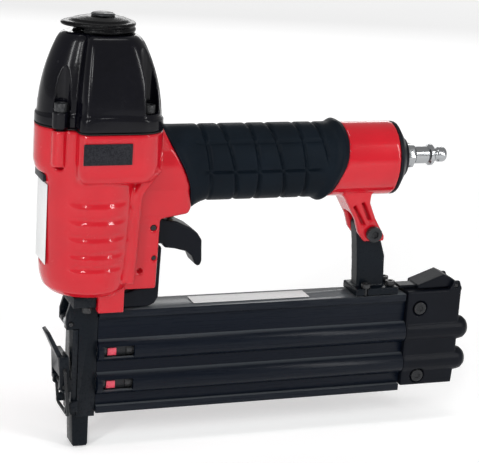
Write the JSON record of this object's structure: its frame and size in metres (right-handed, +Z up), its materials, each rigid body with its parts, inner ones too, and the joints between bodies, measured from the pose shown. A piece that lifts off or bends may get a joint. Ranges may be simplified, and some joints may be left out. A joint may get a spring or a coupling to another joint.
{
  "type": "pneumatic brad nailer",
  "caption": "Hand-held pneumatic brad nailer: red cast housing, black domed cylinder cap, rubber grip, hook trigger, slim sliding magazine and a quick-release nose.",
  "frame": {"origin": "on the flat bottom face of the nose tip, on the middle plane, on the land 3.5 mm in front of the driver axis", "axes": "+X points to the back of the tool, along the handle and the magazine; +Z points up the driver axis towards the cylinder cap; -Y is the side with the badge and the sliding magazine cover"},
  "size_m": [0.2573, 0.0629, 0.2358],
  "materials": {
    "red_paint": "gloss",
    "black_paint": "gloss",
    "grip_rubber": "matte",
    "seal_rubber": "matte",
    "black_steel": "satin",
    "black_aluminium": "satin",
    "black_plastic": "matte",
    "gloss_black_plastic": "gloss",
    "dark_steel": "satin",
    "steel": "satin",
    "chrome": "polished",
    "bare_aluminium": "satin",
    "brass": "satin",
    "red_plastic": "satin",
    "label": "matte"
  },
  "bodies": {
    "housing": {"housing": "red_paint", "grip_sleeve": "grip_rubber", "cylinder_cap": "black_paint", "cap_gasket": "seal_rubber", "cap_bolt_1": "dark_steel", "cap_bolt_2": "dark_steel", "cap_bolt_3": "dark_steel", "cap_bolt_4": "dark_steel", "deflector_screw": "dark_steel", "head_valve_spring": "steel", "cylinder_sleeve": "bare_aluminium", "sleeve_collar": "black_plastic", "bumper": "seal_rubber", "trigger_pin": "dark_steel", "guard_pin": "dark_steel", "rear_guard": "black_plastic", "trigger_valve_body": "brass", "trigger_valve_spring": "steel", "end_cap": "black_plastic", "air_plug": "chrome", "magazine_strut": "black_steel", "strut_bolt": "dark_steel", "foot_screw_1": "dark_steel", "foot_screw_2": "dark_steel", "foot_screw_3": "dark_steel", "magazine_rail": "black_aluminium", "nose_guide": "black_steel", "nose_screw_1": "dark_steel", "nose_screw_2": "dark_steel", "door_hinge_pin": "dark_steel", "door_spring": "steel", "badge": "gloss_black_plastic", "front_label": "label", "magazine_label": "label"},
    "deflector": {"exhaust_deflector": "gloss_black_plastic"},
    "head_valve": {"head_valve_piston": "bare_aluminium"},
    "driver": {"piston": "bare_aluminium", "piston_ring": "seal_rubber", "driver_blade": "steel"},
    "trigger": {"trigger": "black_plastic"},
    "valve_stem": {"trigger_valve_stem": "brass"},
    "magazine": {"magazine_cover": "black_aluminium", "tail_cover": "black_plastic", "tail_screw_1": "dark_steel", "tail_screw_2": "dark_steel", "upper_guide_rod": "steel", "lower_guide_rod": "steel", "upper_pusher_spring": "steel", "lower_pusher_spring": "steel", "latch_pin": "dark_steel", "latch_spring": "steel"},
    "pusher": {"pusher": "steel", "upper_indicator": "red_plastic", "lower_indicator": "red_plastic"},
    "latch": {"latch_lever": "black_plastic"},
    "nose_door": {"nose_door": "black_steel", "nose_latch_pin": "dark_steel"},
    "nose_latch": {"nose_latch_lever": "black_steel"},
    "bail": {"latch_bail": "steel"}
  },
  "joints": [
    {"name": "deflector_turn", "type": "hinge", "parent": "housing", "child": "deflector", "pos_m": [0.0075, 0, 0.23], "axis": [0, 0, 1], "continuous": true},
    {"name": "head_valve_lift", "type": "slide", "parent": "housing", "child": "head_valve", "axis": [0, 0, 1], "range_m": [0, 0.004], "stiffness_N_per_m": 800, "springref_m": -0.01, "deforming": ["head_valve_spring"]},
    {"name": "driver_stroke", "type": "slide", "parent": "housing", "child": "driver", "axis": [0, 0, -1], "range_m": [0, 0.073]},
    {"name": "trigger_pull", "type": "hinge", "parent": "housing", "child": "trigger", "pos_m": [0.036, 0, 0.1242], "axis": [0, -1, 0], "range_deg": [0, 9], "stiffness_Nm_per_rad": 0.3, "springref_deg": -11.46},
    {"name": "valve_stem_lift", "type": "slide", "parent": "housing", "child": "valve_stem", "axis": [0, 0, 1], "range_m": [0, 0.0025], "deforming": ["trigger_valve_spring"]},
    {"name": "magazine_slide", "type": "slide", "parent": "housing", "child": "magazine", "axis": [1, 0, 0], "range_m": [0, 0.105]},
    {"name": "pusher_slide", "type": "slide", "parent": "magazine", "child": "pusher", "axis": [1, 0, 0], "range_m": [0, 0.095], "stiffness_N_per_m": 40, "springref_m": -0.15, "deforming": ["upper_pusher_spring", "lower_pusher_spring"]},
    {"name": "tail_latch_lift", "type": "hinge", "parent": "magazine", "child": "latch", "pos_m": [0.2205, 0, 0.082], "axis": [0, 1, 0], "range_deg": [0, 12], "stiffness_Nm_per_rad": 0.05, "springref_deg": -22.92},
    {"name": "nose_door_open", "type": "hinge", "parent": "housing", "child": "nose_door", "pos_m": [-0.0055, 0, 0.071], "axis": [0, 1, 0], "range_deg": [0, 75]},
    {"name": "nose_latch_open", "type": "hinge", "parent": "nose_door", "child": "nose_latch", "pos_m": [-0.008, 0, 0.036], "axis": [0, -1, 0], "range_deg": [0, 100]},
    {"name": "bail_swing", "type": "hinge", "parent": "nose_latch", "child": "bail", "pos_m": [-0.0085, 0, 0.046], "axis": [0, -1, 0], "range_deg": [-100, 0]}
  ],
  "couplings": [
    {"joint": "valve_stem_lift", "follows": "trigger_pull", "m_per_rad": 0.0135},
    {"joint": "bail_swing", "follows": "nose_latch_open", "ratio": -1}
  ]
}
